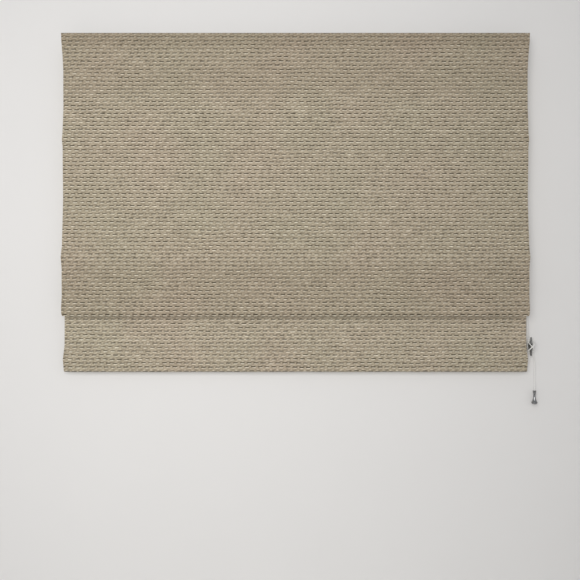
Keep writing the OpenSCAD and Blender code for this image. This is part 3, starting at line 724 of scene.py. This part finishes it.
def rod_pocket(level):
    """The sewn tube of lining that holds a rod."""
    angle = np.linspace(0, 2 * math.pi, POCKET_SIDES, endpoint=False)
    x = np.linspace(-LINING_HALF_W, LINING_HALF_W, POCKET_COLUMNS)
    rod = rods[level]
    rings = []
    for r in (POCKET_R, POCKET_INNER_R):
        ring = np.zeros((POCKET_COLUMNS, POCKET_SIDES, 3))
        ring[..., 0] = x[:, None]
        ring[..., 1] = rod.y + r * np.cos(angle)[None]
        ring[..., 2] = rod.z + r * np.sin(angle)[None]
        rings.append(ring.reshape(-1, 3))
    start = POCKET_COLUMNS * POCKET_SIDES
    i, j = np.meshgrid(np.arange(POCKET_COLUMNS - 1), np.arange(POCKET_SIDES), indexing="ij")
    a = i * POCKET_SIDES + j
    b = i * POCKET_SIDES + (j + 1) % POCKET_SIDES
    wall = np.stack([a, b, b + POCKET_SIDES, a + POCKET_SIDES], -1).reshape(-1, 4)
    faces = wall.tolist() + (wall[:, ::-1] + start).tolist()
    k = np.arange(POCKET_SIDES)
    after = (k + 1) % POCKET_SIDES
    last = start - POCKET_SIDES
    faces += np.stack([k, k + start, after + start, after], -1).tolist()
    faces += np.stack([k + last, after + last, after + last + start, k + last + start], -1).tolist()
    piece = new_mesh("rod_pocket_" + level, np.concatenate(rings), faces, MATERIALS["lining"])
    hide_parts("lining")
    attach(piece, "rod_" + level)


SEAM_BELOW_ROD = 5 * MM


def sew_lining():
    """The rows of stitches under the rod pockets and along the lining's foot."""
    seams = {
        "seam_top": (S_TOP_ROD + SEAM_BELOW_ROD, "rod_top"),
        "seam_middle": (S_MIDDLE_ROD + SEAM_BELOW_ROD, "rod_middle"),
        "seam_bottom": (S_CREASE + 2 * SEAM_BELOW_ROD, "rod_bottom"),
        "seam_foot": (S_LINING_END - SEAM_INSET, "rod_bottom"),
    }
    for name, (s, body) in seams.items():
        piece = new_mesh(name, *cross_seam(s), MATERIALS["lining"])
        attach(piece, body)


# How the strips follow the rods
TOP_Z, MIDDLE_Z = rods["top"].z, rods["middle"].z


def height_at(s):
    """Height of the cloth's path at a length along it."""
    return path.at(np.array([s]))[0][0, 1]


TOP_CUT_Z, MIDDLE_CUT_Z = height_at(TOP_CUT), height_at(MIDDLE_CUT)


def squash_lift(piece, body):
    """A piece between two heights, which rides a body, with a mesh of its own."""
    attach(piece, body)
    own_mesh(piece)


def blend_front(piece):
    """The fold's front layer, with its place baked into its mesh."""
    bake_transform(piece)


def blend_rear(piece):
    """The fold's rear layer, with its place baked into its mesh."""
    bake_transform(piece)


def tuck_at_lip(piece):
    """The lining inside the fold, which rides the middle rod, with a mesh of its own."""
    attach(piece, "rod_middle")
    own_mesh(piece)


def hang_cloth():
    """The face fabric and its lining, strip by strip, each on the rods that carry it."""
    face_top = face_strip("face_top", 0, TOP_CUT)
    squash_lift(face_top, "root")
    face_middle = face_strip("face_middle", TOP_CUT, MIDDLE_CUT)
    squash_lift(face_middle, "rod_top")
    blend_front(face_strip("face_fold_front", MIDDLE_CUT, S_LIP))
    blend_rear(face_strip("face_fold_rear", S_LIP, CREASE_CUT, woven_back=True))
    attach(face_strip("face_flap_top", CREASE_CUT, FLAP_CUT), "rod_bottom")
    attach(face_strip("face_flap", FLAP_CUT, S_HEM_END), "rod_bottom")
    lining_top = lining_strip("lining_top", S_LINING_TOP, TOP_CUT)
    squash_lift(lining_top, "root")
    lining_middle = lining_strip("lining_middle", TOP_CUT, MIDDLE_CUT)
    squash_lift(lining_middle, "rod_top")
    blend_front(lining_strip("lining_fold_front", MIDDLE_CUT, S_LIP))
    tuck_at_lip(lining_strip("lining_fold_rear", S_LIP, S_CREASE))
    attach(lining_strip("lining_flap", S_CREASE, S_LINING_END), "rod_bottom")
    for level in rods:
        rod_pocket(level)


# Cords

PULL_D = 2 * MM
LIFT_D = 1.8 * MM
RING_WIRE_R = 0.9 * MM
TIE_R = 2 * MM
TIE_LEAN = 0.4 * MM
CONNECTOR_DEPTH = 7 * MM
PULLEY_ANGLES = np.linspace(0, math.pi / 2, 9)
TIE_ANGLES = np.linspace(0, 2 * math.pi, 25)
CORD_STEPS = 4
CORD_BEVEL = 3
CLEAT = centre("cleat")
HORN_Y = -14 * MM


def from_cleat(x, y, z):
    return CLEAT.x + x * MM, y * MM, CLEAT.z + z * MM


# The pull cord's route: from the connector down to the cleat, and from the cleat into the acorn
TAUT_POINTS = [
    (0.572, -0.022, -0.052), (0.572, -0.022, -0.060), (0.577, -0.020, -0.150), (0.589, -0.016, -0.380),
    (0.601, -0.012, -0.620), from_cleat(-8.5, -11, 63), from_cleat(-7, -10, 24), from_cleat(-7, -9.5, 6),
    from_cleat(-6.5, -8.5, -4), from_cleat(-4.5, -7.6, -10),
]
HANG_POINTS = [
    from_cleat(3.5, -6.2, -18.5), from_cleat(7.4, -6.8, -23), from_cleat(9.6, -8, -32),
    (0.6235, -0.009, -0.832), (0.6235, -0.009, -0.860), (0.6235, -0.009, -0.890),
    (0.6235, -0.009, -0.9215), (0.6235, -0.009, -0.924), (0.6235, -0.009, -0.928),
]
WRAP_TURNS = 2
TURN_STEPS = 16
WRAP_REACH, WRAP_REACH_STEP = 13 * MM, 2.2 * MM
WRAP_W, WRAP_W_STEP = 5 * MM, 1.8 * MM
WRAP_DEPTH, WRAP_STACK = 4.9 * MM, 2.2 * MM


def wrap_points():
    """Figures of eight round the cleat's horns, each laid outside the one before."""
    points = []
    for k in range(WRAP_TURNS * TURN_STEPS + 1):
        t = k / TURN_STEPS
        a = math.pi + 2 * math.pi * t
        out = WRAP_DEPTH if math.cos(2 * a) > 0 else WRAP_DEPTH + 2 * WRAP_STACK * t
        points.append((
            CLEAT.x + (WRAP_W + WRAP_W_STEP * t) * math.sin(2 * a),
            HORN_Y + out * math.cos(2 * a),
            CLEAT.z + (WRAP_REACH + WRAP_REACH_STEP * t) * math.cos(a),
        ))
    return points


def rounded(points, steps):
    """A smooth line through the points."""
    p = np.array([points[0], *points, points[-1]], float)
    line = []
    for i in range(1, len(p) - 2):
        a, b, c, d = p[i - 1:i + 3]
        for t in np.linspace(0, 1, steps, endpoint=False):
            line.append(0.5 * (2 * b + (c - a) * t + (2 * a - 5 * b + 4 * c - d) * t**2
                               + (3 * b - a - 3 * c + d) * t**3))
    return line + [p[-2]]


def curve_cord(name, points, diameter):
    curve = bpy.data.curves.new(name, "CURVE")
    curve.dimensions = "3D"
    curve.bevel_depth = diameter / 2
    curve.bevel_resolution = CORD_BEVEL
    curve.use_fill_caps = True
    spline = curve.splines.new("POLY")
    spline.points.add(len(points) - 1)
    spline.points.foreach_set("co", np.array([(*p, 1) for p in points]).ravel())
    curve.materials.append(MATERIALS["white_cord"])
    return link(bpy.data.objects.new(name, curve))


def pull_cord():
    points = rounded(TAUT_POINTS + wrap_points() + HANG_POINTS, CORD_STEPS)
    cord = curve_cord("pull_cord_line", points, PULL_D)
    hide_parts("pull_cord")
    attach(cord, "root")


CORD_SIDES = 10


def tube(points):
    """Points and faces of a closed round tube along a line."""
    p = np.array(points, float)
    way = np.gradient(p, axis=0)
    way /= np.linalg.norm(way, axis=1)[:, None]
    side = np.cross(way, (0.0, 1.0, 0.0))
    side /= np.linalg.norm(side, axis=1)[:, None]
    up = np.cross(way, side)
    a = np.linspace(0, 2 * math.pi, CORD_SIDES, endpoint=False)
    ring = np.cos(a)[None, :, None] * side[:, None] + np.sin(a)[None, :, None] * up[:, None]
    rings = p[:, None] + LIFT_D / 2 * ring
    i, j = np.meshgrid(np.arange(len(p) - 1), np.arange(CORD_SIDES), indexing="ij")
    q = i * CORD_SIDES + j
    r = i * CORD_SIDES + (j + 1) % CORD_SIDES
    faces = np.stack([q, r, r + CORD_SIDES, q + CORD_SIDES], -1).reshape(-1, 4).tolist()
    last = (len(p) - 1) * CORD_SIDES
    faces.append(list(range(CORD_SIDES))[::-1])
    faces.append([last + k for k in range(CORD_SIDES)])
    return rings.reshape(-1, 3), faces


def cord_piece(name, lines):
    """One piece of several separate lengths of lift cord."""
    verts, faces = [], []
    for line in lines:
        v, f = tube(line)
        start = sum(len(x) for x in verts)
        verts.append(v)
        faces += [[k + start for k in face] for face in f]
    piece = new_mesh(name, np.concatenate(verts), faces, MATERIALS["white_cord"])
    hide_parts("lift_cord_left", "lift_cord_middle", "lift_cord_right")
    return piece


def lift_cords():
    """The lift cords, cut at the rods into separate lengths."""
    axle_z = centre("pulley_left").z
    exit_x = centre("connector_upper").x
    exit_pulley = centre("pulley_exit").x
    run_r = exit_x - exit_pulley
    connector_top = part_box("connector_upper")[1].z
    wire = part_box("rings_bottom")[1].z - RING_WIRE_R
    rail, top, middle, bottom = [], [], [], []
    for column in ("left", "middle", "right"):
        low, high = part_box("lift_cord_" + column)
        x, y = centre("pulley_" + column).x - run_r, (low.y + high.y) / 2
        line = [(x + run_r - run_r * math.cos(a), y, axle_z + run_r * math.sin(a)) for a in PULLEY_ANGLES]
        line += [(exit_pulley + run_r * math.sin(a), y, axle_z + run_r * math.cos(a)) for a in PULLEY_ANGLES]
        rail.append(line + [(exit_x, y, connector_top - CONNECTOR_DEPTH)])
        top.append([(x, y, axle_z), (x, y, TOP_Z)])
        middle.append([(x, y, TOP_Z), (x, y, MIDDLE_Z)])
        loop = [(x + TIE_R * math.sin(a), y + TIE_LEAN * (a / math.pi - 1), wire + TIE_R * math.cos(a))
                for a in TIE_ANGLES]
        bottom.append([(x, y, MIDDLE_Z), (x, y, wire + TIE_R + LIFT_D)])
        bottom.append(loop)
    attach(cord_piece("lift_cords_rail", rail), "root")
    squash_lift(cord_piece("lift_cords_top", top), "root")
    squash_lift(cord_piece("lift_cords_middle", middle), "rod_top")
    lowest = cord_piece("lift_cords_bottom", bottom)
    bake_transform(lowest)


# The stage: a pale floor and a pale backdrop that is seen only from the front

FLOOR_Z = -1.45
STAGE_SIZE = 8.0
BACKDROP_Y = 2 * MM
FLOOR_COLOUR = (0.74, 0.74, 0.735)
BACKDROP_COLOUR = (0.686, 0.668, 0.648)
MOTTLE = 1.01


def stage_material(name, colour):
    n = Nodes(name)
    grain = n.noise(3.0, 2.0)
    lighter = tuple(min(1.0, c * MOTTLE) for c in colour)
    n.set(Base_Color=n.ramp(grain, (0.3, colour), (0.7, lighter)), Roughness=0.9, Specular_IOR_Level=0.1)
    return n


def plane(name, corners, nodes):
    obj = new_mesh(name, corners, [(0, 1, 2, 3)], nodes.material, smooth=False)
    return obj


def build_stage():
    half = STAGE_SIZE / 2
    floor = [(-half, -half, FLOOR_Z), (half, -half, FLOOR_Z), (half, half, FLOOR_Z), (-half, half, FLOOR_Z)]
    plane("floor", floor, stage_material("floor_paint", FLOOR_COLOUR))
    paint = stage_material("backdrop_paint", BACKDROP_COLOUR)
    geometry = paint.tree.nodes.new("ShaderNodeNewGeometry")
    clear = paint.tree.nodes.new("ShaderNodeBsdfTransparent")
    choice = paint.tree.nodes.new("ShaderNodeMixShader")
    paint.put(choice.inputs[0], geometry.outputs["Backfacing"])
    paint.put(choice.inputs[1], paint.shader.outputs[0])
    paint.put(choice.inputs[2], clear.outputs[0])
    paint.put(paint.tree.nodes["Material Output"].inputs["Surface"], choice.outputs[0])
    wall = [(-half, BACKDROP_Y, FLOOR_Z), (half, BACKDROP_Y, FLOOR_Z),
            (half, BACKDROP_Y, half), (-half, BACKDROP_Y, half)]
    backdrop = plane("backdrop", wall, paint)
    backdrop.visible_shadow = False


# Each lamp's place, what it faces, the length of its side, its power and how wide its light fans out
LIGHTS = {
    "key": ((-0.5, -2.3, -0.15), (-0.3, 0, -0.52), 1.5, 17.6, math.radians(120)),
    "back": ((1.2, 2.6, 0.8), (0, 0, -0.45), 2.0, 10.5, math.radians(80)),
}
WORLD_COLOUR = (0.95, 0.97, 1.0, 1)
WORLD_STRENGTH = 0.58


def area_light(name, place, target, size, power, spread):
    light = bpy.data.lights.new(name, "AREA")
    light.shape = "SQUARE"
    light.size = size
    light.energy = power
    light.spread = spread
    obj = link(bpy.data.objects.new(name, light))
    obj.location = place
    way = np.array(target) - np.array(place)
    obj.rotation_euler = Vector(way).to_track_quat("-Z", "Y").to_euler()


def light_scene():
    world = bpy.data.worlds.new("studio")
    world.use_nodes = True
    background = world.node_tree.nodes["Background"]
    background.inputs["Color"].default_value = WORLD_COLOUR
    background.inputs["Strength"].default_value = WORLD_STRENGTH
    bpy.context.scene.world = world
    for name, settings in LIGHTS.items():
        area_light(name, *settings)


# The photo's view, for a square picture

CAMERA_DISTANCE = 1.70
PICTURE_W = 1.486
CAMERA_X = -14.1 * MM
CAMERA_Z = -636 * MM
SENSOR = 36.0
VIEW_REACH = 50


def place_camera():
    data = bpy.data.cameras.new("camera")
    data.sensor_fit = "HORIZONTAL"
    data.sensor_width = SENSOR
    data.lens = SENSOR * CAMERA_DISTANCE / PICTURE_W
    data.clip_end = VIEW_REACH
    camera = link(bpy.data.objects.new("camera", data))
    front = CLOTH_BACK - FULL_T
    camera.location = (CAMERA_X, front - CAMERA_DISTANCE, CAMERA_Z)
    camera.rotation_euler = (math.pi / 2, 0, 0)
    bpy.context.scene.camera = camera


dress_nodes()
place_camera()
pull_cord()
lift_cords()
hang_cloth()
sew_lining()
build_stage()
light_scene()
bpy.context.scene.view_settings.view_transform = "Standard"
